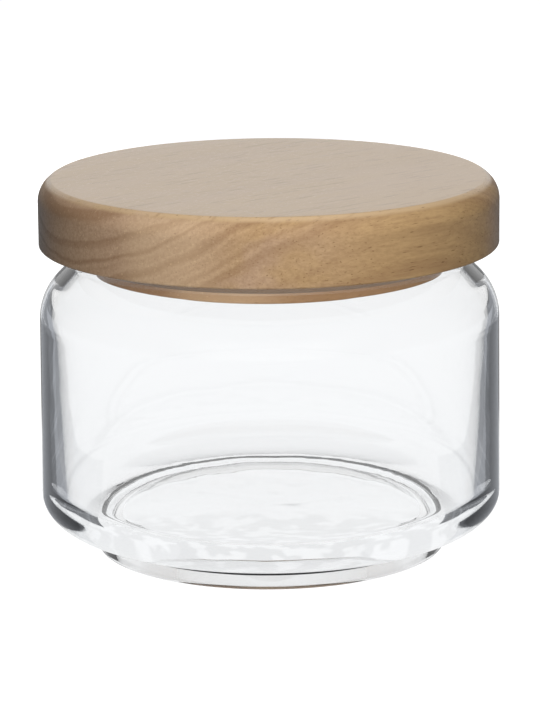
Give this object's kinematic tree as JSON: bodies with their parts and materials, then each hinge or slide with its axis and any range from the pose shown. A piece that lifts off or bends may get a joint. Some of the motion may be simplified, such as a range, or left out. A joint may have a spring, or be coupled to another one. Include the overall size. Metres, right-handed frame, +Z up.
{
  "type": "glass storage jar",
  "caption": "Squat round storage jar of clear glass on a stepped foot, closed by a turned wooden lid whose plug carries a silicone seal.",
  "frame": {"origin": "on the axis of the jar, on the surface that its foot stands on", "axes": "+Z up along the axis of the jar, through its lid; +X and +Y are alike because every piece is round"},
  "size_m": [0.1008, 0.1008, 0.0822],
  "materials": {
    "clear_glass": "clear polished soda-lime glass",
    "lid_wood": "fine-grained light brown hardwood, satin oiled",
    "seal_silicone": "translucent silicone, matt"
  },
  "bodies": {
    "jar": {"glass_jar": "clear_glass"},
    "seal": {"seal_ring": "seal_silicone"},
    "lid": {"wood_lid": "lid_wood"}
  },
  "joints": [
    {"name": "lid_lift", "type": "slide", "parent": "jar", "child": "seal", "axis": [0, 0, 1], "range_m": [0, 0.04]},
    {"name": "lid_turn", "type": "hinge", "parent": "seal", "child": "lid", "pos_m": [0, 0, 0.0676], "axis": [0, 0, 1], "continuous": true}
  ]
}
